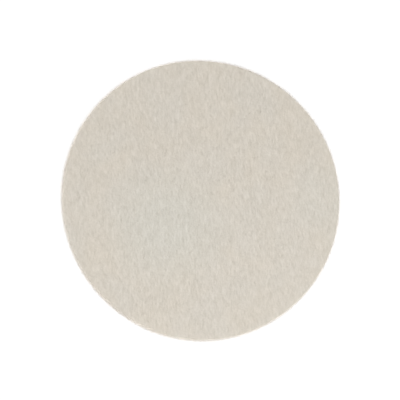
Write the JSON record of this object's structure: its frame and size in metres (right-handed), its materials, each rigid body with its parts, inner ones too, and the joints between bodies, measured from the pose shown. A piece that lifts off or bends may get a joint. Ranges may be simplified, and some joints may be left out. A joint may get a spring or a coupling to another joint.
{
  "type": "felt polishing disc",
  "caption": "Flat round wool felt disc on double-coated tape with a split peel-off liner, for polishing stones on a flat lap.",
  "frame": {"origin": "centre of the underside, on the liner's lower face, where the disc rests", "axes": "+Z out of the working face, along the disc's axis of symmetry; the liner's slit runs along Y"},
  "size_m": [0.1524, 0.1524, 0.0067],
  "materials": {
    "felt": "pressed wool, matte",
    "adhesive": "clear, tacky gloss",
    "film": "clear polyester, gloss",
    "liner_paper": "buff siliconised paper, low sheen"
  },
  "bodies": {
    "pad": {"felt_disc": "felt", "felt_side_adhesive": "adhesive", "carrier_film": "film", "plate_side_adhesive": "adhesive"},
    "liner_left": {"release_liner_left": "liner_paper"},
    "liner_right": {"release_liner_right": "liner_paper"}
  },
  "joints": [
    {"name": "peel_left", "type": "slide", "parent": "pad", "child": "liner_left", "axis": [-1, 0, 0], "range_m": [0, 0.08]},
    {"name": "peel_right", "type": "slide", "parent": "pad", "child": "liner_right", "axis": [1, 0, 0], "range_m": [0, 0.08]}
  ]
}
